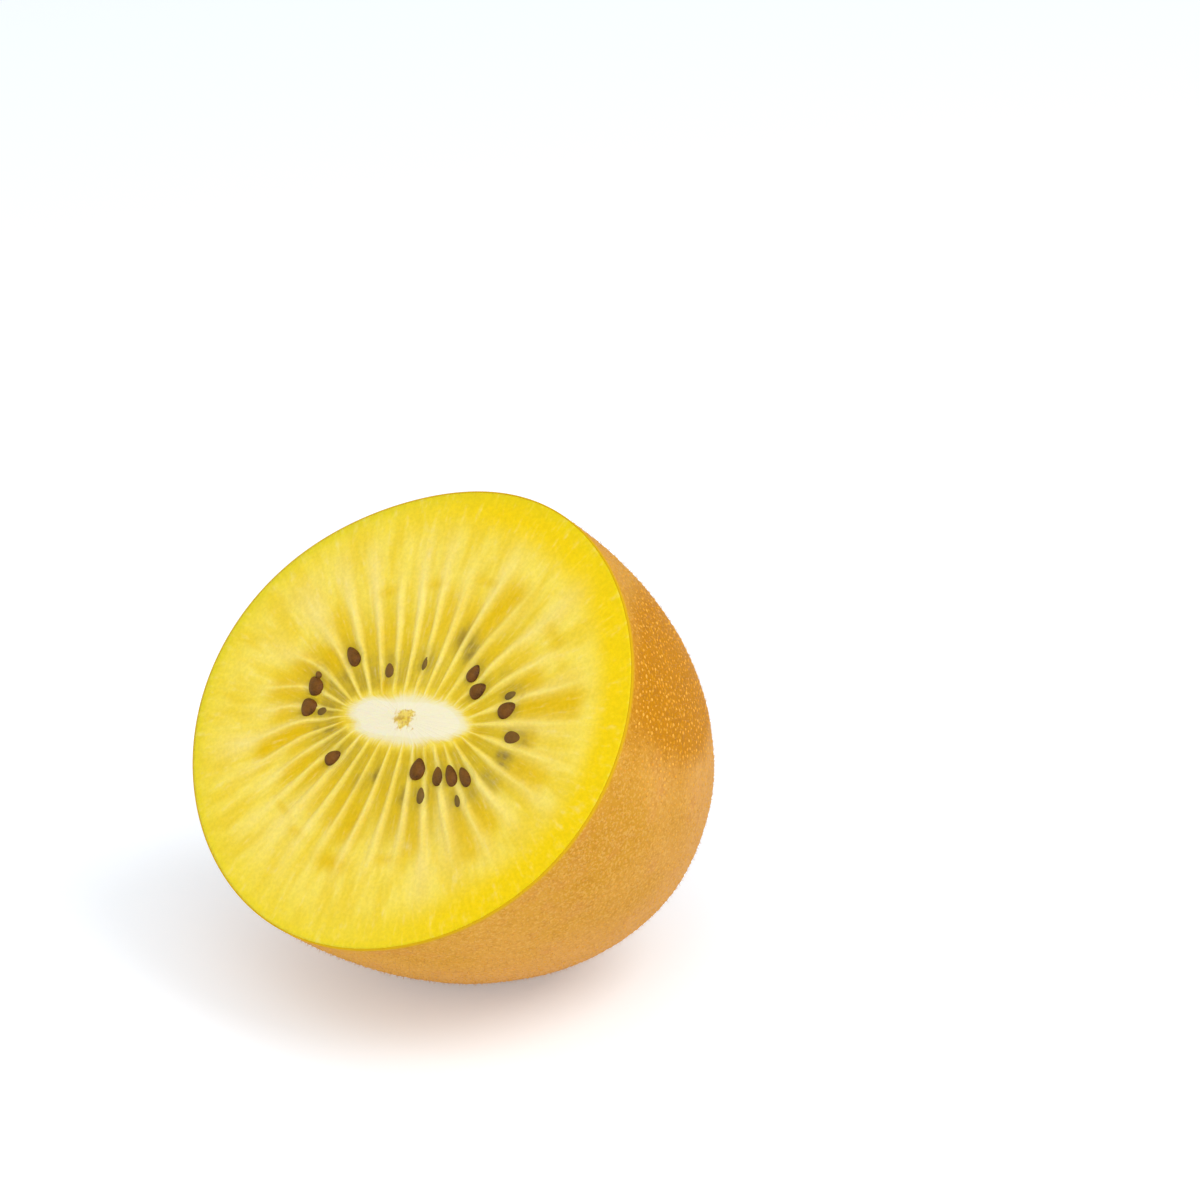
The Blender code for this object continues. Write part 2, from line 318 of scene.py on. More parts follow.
def make_flesh_mesh():
    face_rows = CORE_ROWS + FLESH_ROWS
    rows = face_rows + EDGE_ROWS + UNDER_ROWS
    shape = bmesh.new()
    bmesh.ops.create_uvsphere(shape, u_segments=FACE_COLUMNS, v_segments=rows, radius=1.0)
    mesh = bpy.data.meshes.new("flesh")
    shape.to_mesh(mesh)
    shape.free()
    co = np.empty(len(mesh.vertices) * 3)
    mesh.vertices.foreach_get("co", co)
    x, y, z = co.reshape(-1, 3).T
    row = np.rint(np.arctan2(np.hypot(x, y), z) / math.pi * rows)
    angle = np.arctan2(y, x) % (2.0 * math.pi)

    core_share = np.clip(row / CORE_ROWS, 0.0, 1.0)
    station = np.clip((row - CORE_ROWS) / FLESH_ROWS, 0.0, 1.0)
    rim_radius = section_radius(angle) - SKIN_THICKNESS - EDGE_ROUNDING
    core_x, core_y = core_point(angle, core_share)
    flesh_x, flesh_y = face_point(angle, station, rim_radius)
    face_x = np.where(row <= CORE_ROWS, core_x, flesh_x)
    face_y = np.where(row <= CORE_ROWS, core_y, flesh_y)
    masks, face_height = paint_face(face_x, face_y, angle, station, core_share)

    # Below the face the flesh rounds over its edge and follows the skin's inner side down to the stem end
    edge = np.clip((row - face_rows) / EDGE_ROWS, 0.0, 1.0)
    under = np.clip((row - face_rows - EDGE_ROWS) / UNDER_ROWS, 0.0, 1.0)
    turn = 0.5 * math.pi * under
    ring = (section_radius(angle) - SKIN_THICKNESS) * np.cos(turn) ** (2.0 / PROFILE_POWER)
    depth = EDGE_ROUNDING + (LENGTH - STEM_GAP - EDGE_ROUNDING) * np.sin(turn) ** (2.0 / PROFILE_POWER)
    rounded = rim_radius + EDGE_ROUNDING * np.sin(0.5 * math.pi * edge)
    rolled = -EDGE_ROUNDING * (1.0 - np.cos(0.5 * math.pi * edge))
    on_face = row <= face_rows
    on_edge = row <= face_rows + EDGE_ROWS
    radius = np.where(on_edge, rounded, ring)
    x = np.where(on_face, face_x, radius * np.cos(angle))
    y = np.where(on_face, face_y, radius * np.sin(angle))
    z = np.where(on_face, face_height, np.where(on_edge, rolled, -depth))
    mesh.vertices.foreach_set("co", np.stack([x, y, z], axis=1).ravel())
    for name, values in masks.items():
        layer = mesh.attributes.new(name, "FLOAT", "POINT")
        layer.data.foreach_set("value", np.ascontiguousarray(values, dtype=np.float32))
    rays = np.stack([np.cos(angle), np.sin(angle), station], axis=1).astype(np.float32)
    mesh.attributes.new("ray", "FLOAT_VECTOR", "POINT").data.foreach_set("vector", rays.ravel())
    mesh.update()
    return mesh


def srgb(code):
    """Linear colour of a six digit web colour."""
    parts = [int(code[start:start + 2], 16) / 255.0 for start in (0, 2, 4)]
    return (*[part / 12.92 if part <= 0.04045 else ((part + 0.055) / 1.055) ** 2.4 for part in parts], 1.0)


def feed(tree, node, inputs):
    """Gives each of these inputs of a node its value, or a link from another node's socket."""
    for key, value in inputs.items():
        if isinstance(value, bpy.types.NodeSocket):
            tree.links.new(value, node.inputs[key])
        else:
            node.inputs[key].default_value = value


def add_node(tree, kind, inputs=None, **settings):
    node = tree.nodes.new(kind)
    for name, value in settings.items():
        setattr(node, name, value)
    feed(tree, node, inputs or {})
    return node


def calc(tree, operation, *values):
    return add_node(tree, "ShaderNodeMath", dict(enumerate(values)), operation=operation).outputs[0]


def ramp(tree, value, low, high, low_out=0.0, high_out=1.0):
    inputs = {"Value": value, "From Min": low, "From Max": high, "To Min": low_out, "To Max": high_out}
    return add_node(tree, "ShaderNodeMapRange", inputs, interpolation_type="SMOOTHSTEP").outputs["Result"]


def tint(tree, factor, below, above, mode="MIX"):
    inputs = {0: factor, 6: below, 7: above}
    return add_node(tree, "ShaderNodeMix", inputs, data_type="RGBA", blend_type=mode).outputs[2]


def grain(tree, vector, scale, detail=2.0, roughness=0.5):
    inputs = {"Vector": vector, "Scale": scale, "Detail": detail, "Roughness": roughness}
    return add_node(tree, "ShaderNodeTexNoise", inputs).outputs["Fac"]


def ragged(tree, value, texture, width):
    """A value with a noise of this width added, so that an edge drawn from it is ragged."""
    return calc(tree, "ADD", value, calc(tree, "MULTIPLY_ADD", texture, width, -0.5 * width))


def relief(tree, height, strength, distance):
    inputs = {"Strength": strength, "Distance": distance, "Height": height}
    return add_node(tree, "ShaderNodeBump", inputs).outputs["Normal"]


def mask(tree, name):
    return add_node(tree, "ShaderNodeAttribute", attribute_name=name).outputs["Fac"]


def new_material(name):
    """A material with its node tree, its shader and the place of each point on the piece."""
    material = bpy.data.materials.new(name)
    material.use_nodes = True
    tree = material.node_tree
    place = add_node(tree, "ShaderNodeTexCoord").outputs["Object"]
    return material, tree, tree.nodes["Principled BSDF"], place


def make_flesh_material():
    material, tree, shader, place = new_material("golden flesh")
    ray = add_node(tree, "ShaderNodeAttribute", attribute_name="ray").outputs["Vector"]
    core, wall, pulp, gold, olive, rim, green, rim_glow, middle = [
        mask(tree, name)
        for name in ("core", "wall", "pulp", "gold", "olive", "rim", "green", "rim_glow", "middle")
    ]

    # Noise drawn out along the rays, and noise that is even in all directions
    drawn_out = add_node(tree, "ShaderNodeMapping", {"Vector": ray, "Scale": (34.0, 34.0, 9.0)}).outputs[0]
    broad = add_node(tree, "ShaderNodeMapping", {"Vector": ray, "Scale": (11.0, 11.0, 3.0)}).outputs[0]
    fibres = grain(tree, drawn_out, 1.0, detail=3.0)
    streaks = grain(tree, broad, 1.0)
    cells = grain(tree, place, 2600.0, roughness=0.6)
    crumbs = grain(tree, place, 1100.0)

    color = tint(tree, ramp(tree, streaks, 0.35, 0.65), srgb("ebce38"), srgb("f2db58"))
    # Painted light: the rim is painted a brighter yellow on one side, as light shining through the flesh's
    # edge
    rim_color = tint(tree, rim_glow, srgb("ecd42c"), srgb("efce04"))
    color = tint(tree, ramp(tree, ragged(tree, rim, streaks, 0.4), 0.1, 0.95), color, rim_color)
    color = tint(tree, calc(tree, "MULTIPLY", green, 0.3), color, srgb("cfc41c"))
    color = tint(tree, calc(tree, "MULTIPLY", pulp, 0.95), color, srgb("ddbd1c"))
    uneven = calc(tree, "MULTIPLY", gold, ramp(tree, crumbs, 0.3, 0.6, 0.9, 1.1))
    color = tint(tree, uneven, color, srgb("e1ba00"))
    patchy = calc(tree, "MULTIPLY", olive, ramp(tree, crumbs, 0.3, 0.65, 0.7, 1.15))
    color = tint(tree, patchy, color, srgb("8d7630"))
    color = tint(tree, calc(tree, "MULTIPLY", wall, 0.85), color, srgb("f3e086"))
    streak = ramp(tree, fibres, 0.3, 0.7, 0.975, 1.015)
    speckle = ramp(tree, cells, 0.3, 0.7, 0.955, 1.035)
    color = tint(tree, 1.0, color, calc(tree, "MULTIPLY", streak, speckle), "MULTIPLY")

    feathered = ragged(tree, ragged(tree, core, fibres, 0.9), crumbs, 0.5)
    color = tint(tree, ramp(tree, feathered, 0.0, 0.95), color, srgb("ede3b6"))
    color = tint(tree, ramp(tree, core, 0.9, 1.0, 0.0, 0.6), color, srgb("f1ead2"))
    pith = ragged(tree, ragged(tree, middle, crumbs, 1.8), cells, 1.4)
    grains = tint(tree, ramp(tree, cells, 0.42, 0.58), srgb("cfa61a"), srgb("e8cc3c"))
    color = tint(tree, ramp(tree, pith, 1.05, 0.55, 0.0, 0.85), color, grains)

    height = calc(tree, "ADD", calc(tree, "MULTIPLY", cells, 0.8), calc(tree, "MULTIPLY", fibres, 0.2))
    feed(tree, shader, {
        "Base Color": color,
        "Roughness": ramp(tree, cells, 0.35, 0.7, 0.3, 0.5),
        "Specular IOR Level": 0.1,
        "Subsurface Weight": 0.35,
        "Subsurface Radius": (1.0, 0.7, 0.12),
        "Subsurface Scale": 0.6 * MM,
        "Normal": relief(tree, height, 0.3, 0.12 * MM),
    })
    return material


def place_on_table(mesh):
    mesh.transform(Matrix.Translation(CUT_CENTRE) @ Matrix.Rotation(TILT, 4, "X"))
    mesh.update()


def show(name, mesh):
    """Puts a finished mesh in the scene as a smooth shaded object at the origin."""
    mesh.name = name
    mesh.shade_smooth()
    item = bpy.data.objects.new(name, mesh)
    bpy.context.scene.collection.objects.link(item)
    return item


flesh_mesh = make_flesh_mesh()
flesh_mesh.materials.append(make_flesh_material())
place_on_table(flesh_mesh)
flesh = show("cut_flesh", flesh_mesh)
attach(flesh, "root")
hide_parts("kiwi_half")

# The seeds
# Flat, dark brown beads with a blunt and a pointed end and a finely pitted coat. Each hangs in a locule and
# is held by the pulp, so the cut leaves it sunk to about half its thickness, or with only its back showing.
SEED_THICKNESS = 1.3 * MM
SEED_POINT = 0.28
SEED_FINENESS = 4


def new_tree(name, inputs):
    """A Geometry Nodes tree with a geometry output and these named inputs."""
    tree = bpy.data.node_groups.new(name, "GeometryNodeTree")
    tree.interface.new_socket("Geometry", in_out="INPUT", socket_type="NodeSocketGeometry")
    for label, (kind, value) in inputs.items():
        socket = tree.interface.new_socket(label, in_out="INPUT", socket_type=kind)
        if value is not None:
            socket.default_value = value
    tree.interface.new_socket("Geometry", in_out="OUTPUT", socket_type="NodeSocketGeometry")
    return tree, tree.nodes.new("NodeGroupInput").outputs, tree.nodes.new("NodeGroupOutput")


def stored(tree, name):
    return add_node(tree, "GeometryNodeInputNamedAttribute", {"Name": name}).outputs["Attribute"]


def finish_tree(tree, geometry, material, result):
    real = add_node(tree, "GeometryNodeRealizeInstances", {0: geometry})
    dressed = add_node(tree, "GeometryNodeSetMaterial", {"Geometry": real.outputs[0], "Material": material})
    tree.links.new(dressed.outputs[0], result.inputs[0])


def grow(name, start, tree, material):
    """Runs a tree on a start mesh and returns the result as a plain mesh."""
    holder = bpy.data.objects.new(name, start)
    bpy.context.scene.collection.objects.link(holder)
    modifier = holder.modifiers.new(name, "NODES")
    modifier.node_group = tree
    for socket in tree.interface.items_tree:
        if socket.in_out == "INPUT" and socket.socket_type == "NodeSocketMaterial":
            modifier[socket.identifier] = material
    graph = bpy.context.evaluated_depsgraph_get()
    mesh = bpy.data.meshes.new_from_object(holder.evaluated_get(graph), depsgraph=graph)
    bpy.data.objects.remove(holder, do_unlink=True)
    return mesh


def make_seed_tree():
    tree, given, result = new_tree("seeds", {
        "Thickness": ("NodeSocketFloat", SEED_THICKNESS),
        "Point": ("NodeSocketFloat", SEED_POINT),
        "Fineness": ("NodeSocketInt", SEED_FINENESS),
        "Material": ("NodeSocketMaterial", None),
    })
    bead = add_node(tree, "GeometryNodeMeshIcoSphere", {"Radius": 1.0, "Subdivisions": given["Fineness"]})
    spot = add_node(tree, "GeometryNodeInputPosition").outputs[0]
    x, y, z = add_node(tree, "ShaderNodeSeparateXYZ", {0: spot}).outputs
    slim = calc(tree, "MULTIPLY_ADD", x, calc(tree, "MULTIPLY", given["Point"], -1.0), 1.0)
    narrowed = add_node(tree, "ShaderNodeCombineXYZ", {
        "X": x, "Y": calc(tree, "MULTIPLY", y, slim), "Z": calc(tree, "MULTIPLY", z, slim),
    }).outputs[0]
    # The bead's height is stored so that the coat can be painted lighter on its top: painted light
    marked = add_node(tree, "GeometryNodeStoreNamedAttribute", {
        "Geometry": bead.outputs["Mesh"], "Name": "crown_light", "Value": z,
    }, data_type="FLOAT", domain="POINT")
    drop = add_node(tree, "GeometryNodeSetPosition", {"Geometry": marked.outputs[0], "Position": narrowed})
    size = add_node(tree, "ShaderNodeCombineXYZ", {
        "X": calc(tree, "MULTIPLY", stored(tree, "length"), 0.5),
        "Y": calc(tree, "MULTIPLY", stored(tree, "width"), 0.5),
        "Z": calc(tree, "MULTIPLY", given["Thickness"], 0.5),
    }).outputs[0]
    turn = add_node(tree, "ShaderNodeCombineXYZ", {"Z": stored(tree, "direction")}).outputs[0]
    placed = add_node(tree, "GeometryNodeInstanceOnPoints", {
        "Points": given["Geometry"], "Instance": drop.outputs[0], "Rotation": turn, "Scale": size,
    })
    finish_tree(tree, placed.outputs[0], given["Material"], result)
    return tree


def make_seed_points():
    """One point for each bare seed, with its size and direction."""
    places = []
    for angle, station, direction, length, width, sunk in SEEDS:
        at = math.radians(angle)
        x, y = face_point(at, station, section_radius(at))
        places.append((x, y, -0.8 * LOCULE_DEPTH - sunk * MM))
    mesh = bpy.data.meshes.new("seed_points")
    mesh.from_pydata(places, [], [])
    columns = {
        "direction": [math.radians(seed[2]) for seed in SEEDS],
        "length": [seed[3] * MM for seed in SEEDS],
        "width": [seed[4] * MM for seed in SEEDS],
        "veil": [max(0.0, min(1.0, 2.2 * (seed[5] - 0.3))) for seed in SEEDS],
    }
    for name, values in columns.items():
        mesh.attributes.new(name, "FLOAT", "POINT").data.foreach_set("value", values)
    return mesh


def make_seed_material():
    material, tree, shader, place = new_material("seed coat")
    pits = add_node(tree, "ShaderNodeTexVoronoi", {"Vector": place, "Scale": 5000.0}).outputs["Distance"]
    patches = grain(tree, place, 900.0)
    color = tint(tree, ramp(tree, patches, 0.38, 0.62), srgb("452606"), srgb("663b10"))
    # Painted glints: the coat is painted paler where it stands high between the pits
    color = tint(tree, ramp(tree, pits, 0.1, 0.7, 0.0, 0.35), color, srgb("7f5214"))
    # Painted light: each seed is painted lighter on its top
    color = tint(tree, ramp(tree, mask(tree, "crown_light"), 0.5, 1.0, 0.0, 0.4), color, srgb("83561a"))
    color = tint(tree, calc(tree, "MULTIPLY", mask(tree, "veil"), 0.65), color, srgb("756a32"))
    feed(tree, shader, {
        "Base Color": color,
        "Roughness": 0.4,
        "Specular IOR Level": 0.15,
        "Normal": relief(tree, pits, 0.5, 0.05 * MM),
    })
    return material


seed_mesh = grow("seeds", make_seed_points(), make_seed_tree(), make_seed_material())
place_on_table(seed_mesh)
seeds = show("seeds", seed_mesh)
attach(seeds, "root")

# The skin
# A thin, tough, golden brown cup that the flesh fills, open at the cut, where its edge shows as a fine line.
# It lies flat on the small spot that it rests on, swells a little here and there, and dips at the stem end.
SKIN_COLUMNS = 720
SKIN_ROWS = 104
INNER_ROWS = 26
DIMPLE_DEPTH = 0.9 * MM
DIMPLE_RADIUS = 5.0 * MM
SKIN_LUMPS = 0.35 * MM
# The amber patch is a painted glow of light shining through the thin skin from the flesh: its middle, reach,
# flatness and raggedness
AMBER_GLOW_SPOT = Vector((23.4, 8.2, 35.9)) * MM
AMBER_GLOW_REACH = 17.5 * MM
AMBER_GLOW_FLATNESS = 1.6
AMBER_GLOW_RAGGEDNESS = 12.0 * MM
SPECKLE_SPACING = 0.55 * MM
# Share of the way to the stem end over which the skin is still coloured by the flesh at the cut
LIP_DEPTH = 0.005


def make_skin_tree():
    tree, given, result = new_tree("skin", {
        "Mean Radius": ("NodeSocketFloat", MEAN_RADIUS),
        "Length": ("NodeSocketFloat", LENGTH),
        "Thickness": ("NodeSocketFloat", SKIN_THICKNESS),
        "Dimple Depth": ("NodeSocketFloat", DIMPLE_DEPTH),
        "Dimple Radius": ("NodeSocketFloat", DIMPLE_RADIUS),
        "Lumps": ("NodeSocketFloat", SKIN_LUMPS),
        "Material": ("NodeSocketMaterial", None),
    })
    rows = SKIN_ROWS + INNER_ROWS
    fineness = {"Segments": SKIN_COLUMNS, "Rings": rows, "Radius": 1.0}
    ball = add_node(tree, "GeometryNodeMeshUVSphere", fineness)
    spot = add_node(tree, "GeometryNodeInputPosition").outputs[0]
    x, y, z = add_node(tree, "ShaderNodeSeparateXYZ", {0: spot}).outputs
    across = calc(tree, "SQRT", calc(tree, "ADD", calc(tree, "MULTIPLY", x, x), calc(tree, "MULTIPLY", y, y)))
    row = calc(tree, "MULTIPLY", calc(tree, "ARCTAN2", across, z), rows / math.pi)

    # The first rows line the cup, the others are its outer side. Down is the share of the way to the stem end
    inside = calc(tree, "LESS_THAN", row, INNER_ROWS + 0.5)
    inner_way = calc(tree, "SUBTRACT", 1.0, calc(tree, "DIVIDE", row, INNER_ROWS))
    outer_way = calc(tree, "DIVIDE", calc(tree, "SUBTRACT", row, INNER_ROWS + 1.0), SKIN_ROWS - 1.0)
    down = calc(tree, "MAXIMUM", calc(tree, "MULTIPLY", inside, inner_way), outer_way)
    geometry = ball.outputs["Mesh"]
    for name, value in (("outside", calc(tree, "SUBTRACT", 1.0, inside)), ("down", down)):
        geometry = add_node(tree, "GeometryNodeStoreNamedAttribute", {
            "Geometry": geometry, "Name": name, "Value": value,
        }, data_type="FLOAT", domain="POINT").outputs[0]

    down = stored(tree, "down")
    wall = calc(tree, "MULTIPLY", calc(tree, "SUBTRACT", 1.0, stored(tree, "outside")), given["Thickness"])
    angle = calc(tree, "ARCTAN2", y, x)
    section = 1.0
    for size, count, crest in SECTION_WAVES:
        swing = calc(tree, "COSINE", calc(tree, "MULTIPLY_ADD", angle, count, -math.radians(crest) * count))
        section = calc(tree, "MULTIPLY_ADD", swing, size, section)
    turn = calc(tree, "MULTIPLY", down, 0.5 * math.pi)
    curve_in, curve_down = [
        calc(tree, "POWER", calc(tree, "MAXIMUM", calc(tree, wave, turn), 0.0), 2.0 / PROFILE_POWER)
        for wave in ("COSINE", "SINE")
    ]
    rim = calc(tree, "SUBTRACT", calc(tree, "MULTIPLY", section, given["Mean Radius"]), wall)
    ring = calc(tree, "MULTIPLY", rim, curve_in)
    off_axis = calc(tree, "POWER", calc(tree, "DIVIDE", ring, given["Dimple Radius"]), 2.0)
    dimple = calc(tree, "DIVIDE", given["Dimple Depth"], calc(tree, "EXPONENT", off_axis))
    depth = calc(tree, "MULTIPLY", calc(tree, "SUBTRACT", given["Length"], wall), curve_down)
    depth = calc(tree, "SUBTRACT", depth, calc(tree, "MULTIPLY", dimple, curve_down))
    form = add_node(tree, "ShaderNodeCombineXYZ", {
        "X": calc(tree, "MULTIPLY", ring, calc(tree, "COSINE", angle)),
        "Y": calc(tree, "MULTIPLY", ring, calc(tree, "SINE", angle)),
        "Z": calc(tree, "MULTIPLY", depth, -1.0),
    }).outputs[0]
    cup = add_node(tree, "GeometryNodeSetPosition", {"Geometry": geometry, "Position": form})

    # Low swellings on the outer side, which die away towards the cut and the stem scar
    swell = calc(tree, "SUBTRACT", grain(tree, spot, 110.0), 0.5)
    fade = calc(tree, "MULTIPLY", stored(tree, "outside"), ramp(tree, stored(tree, "down"), 0.0, 0.08))
    fade = calc(tree, "MULTIPLY", fade, ramp(tree, stored(tree, "down"), 0.92, 0.80))
    lift = calc(tree, "MULTIPLY", calc(tree, "MULTIPLY", swell, given["Lumps"]), fade)
    normal = add_node(tree, "GeometryNodeInputNormal").outputs[0]
    offset = add_node(tree, "ShaderNodeVectorMath", {0: normal, "Scale": lift}, operation="SCALE").outputs[0]
    uneven = add_node(tree, "GeometryNodeSetPosition", {"Geometry": cup.outputs[0], "Offset": offset})
    finish_tree(tree, uneven.outputs[0], given["Material"], result)
    return tree


def distance_from_amber_glow(tree, place):
    """How far a place is from the middle of the amber patch, a painted glow of light through the skin, which
    is less high than it is wide.
    """
    offset = place
    for operation, value in (("SUBTRACT", AMBER_GLOW_SPOT), ("MULTIPLY", (1.0, 1.0, AMBER_GLOW_FLATNESS))):
        offset = add_node(tree, "ShaderNodeVectorMath", {0: offset, 1: value}, operation=operation).outputs[0]
    return add_node(tree, "ShaderNodeVectorMath", {0: offset}, operation="LENGTH").outputs["Value"]


def make_skin_material():
    material, tree, shader, place = new_material("fruit skin")
    down = mask(tree, "down")
    above_table = add_node(tree, "ShaderNodeSeparateXYZ", {0: place}).outputs["Z"]
    clouds = grain(tree, place, 90.0, detail=3.0)
    patches = grain(tree, place, 260.0)
    mottle = grain(tree, place, 1100.0, detail=3.0, roughness=0.65)
    fine = grain(tree, place, 3000.0)
    color = tint(tree, ramp(tree, clouds, 0.3, 0.7), srgb("cc9128"), srgb("d79c3a"))
    color = tint(tree, ramp(tree, patches, 0.5, 0.75, 0.0, 0.6), color, srgb("d28f46"))
    # Painted light: the amber patch stands for light shining through the thin skin from the flesh; its
    # mottle, strokes and speckles are tinted with it
    off_amber_glow = ragged(tree, distance_from_amber_glow(tree, place), clouds, AMBER_GLOW_RAGGEDNESS)
    amber = ramp(tree, off_amber_glow, AMBER_GLOW_REACH, 0.6 * AMBER_GLOW_REACH)
    # Painted light: the skin is painted lighter towards the table, for light thrown up from the white floor
    color = tint(tree, ramp(tree, above_table, 0.45 * MEAN_RADIUS, 0.0, 0.0, 0.8), color, srgb("daa34c"))
    away = ragged(tree, down, clouds, 0.5)
    color = tint(tree, ramp(tree, away, 0.05, 0.4, 0.0, 0.55), color, srgb("da9c58"))
    color = tint(tree, calc(tree, "MULTIPLY", amber, 0.95), color, srgb("c07c00"))
    dark = calc(tree, "MULTIPLY", ramp(tree, mottle, 0.45, 0.7), calc(tree, "MULTIPLY_ADD", amber, 0.3, 0.3))
    color = tint(tree, dark, color, srgb("ad7010"))
    strokes = tint(tree, amber, srgb("ebb964"), srgb("d8920c"))
    color = tint(tree, ramp(tree, fine, 0.5, 0.66, 0.0, 0.45), color, strokes)
    spaced = {"Vector": place, "Scale": 1.0 / SPECKLE_SPACING}
    near = add_node(tree, "ShaderNodeTexVoronoi", spaced).outputs["Distance"]
    speckle = ramp(tree, calc(tree, "ADD", near, calc(tree, "MULTIPLY", fine, 0.3)), 0.58, 0.30)
    speckle = calc(tree, "MULTIPLY", speckle, ramp(tree, patches, 0.3, 0.6, 0.4, 1.0))
    plain = calc(tree, "MULTIPLY", speckle, calc(tree, "MULTIPLY_ADD", amber, 0.3, 0.45))
    color = tint(tree, plain, color, tint(tree, amber, srgb("e0ab58"), srgb("e4a020")))
    color = tint(tree, ramp(tree, down, LIP_DEPTH, 0.0), color, srgb("dcae10"))

    height = calc(tree, "ADD", calc(tree, "MULTIPLY", fine, 0.3), calc(tree, "MULTIPLY", mottle, 0.5))
    height = calc(tree, "ADD", height, calc(tree, "MULTIPLY", speckle, 0.5))
    feed(tree, shader, {
        "Base Color": color,
        "Roughness": ramp(tree, fine, 0.3, 0.7, 0.5, 0.75),
        "Specular IOR Level": 0.05,
        "Sheen Weight": 0.02,
        "Sheen Roughness": 0.4,
        "Sheen Tint": srgb("f0c070"),
        "Normal": relief(tree, height, 0.6, 0.15 * MM),
    })
    return material


def rest_flat(mesh):
    """Presses the outer side up to the table, and keeps the inner side a skin's thickness above it."""
    co = np.empty(len(mesh.vertices) * 3)
    mesh.vertices.foreach_get("co", co)
    co = co.reshape(-1, 3)
    outside = np.empty(len(mesh.vertices))
    mesh.attributes["outside"].data.foreach_get("value", outside)
    co[:, 2] = np.maximum(co[:, 2], SKIN_THICKNESS * (1.0 - outside))
    mesh.vertices.foreach_set("co", co.ravel())
    mesh.update()


skin_mesh = grow("skin", bpy.data.meshes.new("skin_start"), make_skin_tree(), make_skin_material())
place_on_table(skin_mesh)
rest_flat(skin_mesh)
skin = show("skin", skin_mesh)
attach(skin, "root")
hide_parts("kiwi_half")

# The pores
# Thousands of pale, corky, slightly raised specks, through which the fruit breathed. They grew out of the
# skin all over it, and show plainest against its amber patch, a painted glow of light through the skin.
PORE_SPACING = 0.62 * MM
PORE_SIZES = (0.10 * MM, 0.28 * MM)
PORE_HEIGHT = 0.35
PORE_TOP = 0.45
PORE_SUNK = 0.4
PORE_SIDES = 6
PORE_SEED = 4
# Where nothing grows: shares of the way to the stem end, at the cut and the scar, and height over the table
BARE_LIP = 0.012
BARE_END = 0.93
BARE_FOOT = 0.9 * MM
# Points tried in a square of one spacing, before those too close to another are left out
TRIES = 3.0


def scatter(tree, surface, spacing, seed):
    """Points strewn evenly over the outer skin, off its edge, its stem end and what it rests on."""
    spot = add_node(tree, "GeometryNodeInputPosition").outputs[0]
    height = add_node(tree, "ShaderNodeSeparateXYZ", {0: spot}).outputs["Z"]
    fair = 1.0
    for comparison, value, limit in (
        ("GREATER_THAN", stored(tree, "down"), BARE_LIP),
        ("LESS_THAN", stored(tree, "down"), BARE_END),
        ("GREATER_THAN", height, BARE_FOOT),
        ("GREATER_THAN", stored(tree, "outside"), 0.5),
    ):
        fair = calc(tree, "MULTIPLY", fair, calc(tree, comparison, value, limit))
    chosen = {"Geometry": surface, "Selection": fair}
    outer = add_node(tree, "GeometryNodeSeparateGeometry", chosen, domain="FACE").outputs["Selection"]
    most = calc(tree, "DIVIDE", TRIES, calc(tree, "MULTIPLY", spacing, spacing))
    return add_node(tree, "GeometryNodeDistributePointsOnFaces", {
        "Mesh": outer, "Distance Min": spacing, "Density Max": most, "Seed": seed,
    }, distribute_method="POISSON").outputs


def random_number(tree, low, high, seed):
    return add_node(tree, "FunctionNodeRandomValue", {2: low, 3: high, 8: seed}, data_type="FLOAT").outputs[1]


def plant(tree, points, instance, tilt, scale):
    """Puts an instance on each point, turned by this tilt from the way that the surface faces."""
    turns = {0: points["Rotation"], 1: add_node(tree, "FunctionNodeEulerToRotation", {0: tilt}).outputs[0]}
    facing = add_node(tree, "FunctionNodeRotateRotation", turns, rotation_space="LOCAL").outputs[0]
    return add_node(tree, "GeometryNodeInstanceOnPoints", {
        "Points": points["Points"], "Instance": instance, "Rotation": facing, "Scale": scale,
    }).outputs[0]


def make_pore_tree():
    tree, given, result = new_tree("pores", {
        "Spacing": ("NodeSocketFloat", PORE_SPACING),
        "Least Size": ("NodeSocketFloat", PORE_SIZES[0]),
        "Greatest Size": ("NodeSocketFloat", PORE_SIZES[1]),
        "Height": ("NodeSocketFloat", PORE_HEIGHT),
        "Seed": ("NodeSocketInt", PORE_SEED),
        "Material": ("NodeSocketMaterial", None),
    })
    points = scatter(tree, given["Geometry"], given["Spacing"], given["Seed"])
    cap = add_node(tree, "GeometryNodeMeshCone", {
        "Vertices": PORE_SIDES, "Side Segments": 1,
        "Radius Top": PORE_TOP, "Radius Bottom": 1.0, "Depth": 1.0,
    })
    sunk = add_node(tree, "GeometryNodeTransform", {
        "Geometry": cap.outputs["Mesh"], "Translation": (0.0, 0.0, -PORE_SUNK),
    })
    size = random_number(tree, given["Least Size"], given["Greatest Size"], given["Seed"])
    scale = add_node(tree, "ShaderNodeCombineXYZ", {
        "X": size,
        "Y": calc(tree, "MULTIPLY", size, random_number(tree, 0.7, 1.0, 9)),
        "Z": calc(tree, "MULTIPLY", size, given["Height"]),
    }).outputs[0]
    turn = random_number(tree, 0.0, 2.0 * math.pi, 5)
    spin = add_node(tree, "ShaderNodeCombineXYZ", {"Z": turn}).outputs[0]
    placed = plant(tree, points, sunk.outputs[0], spin, scale)
    finish_tree(tree, placed, given["Material"], result)
    return tree


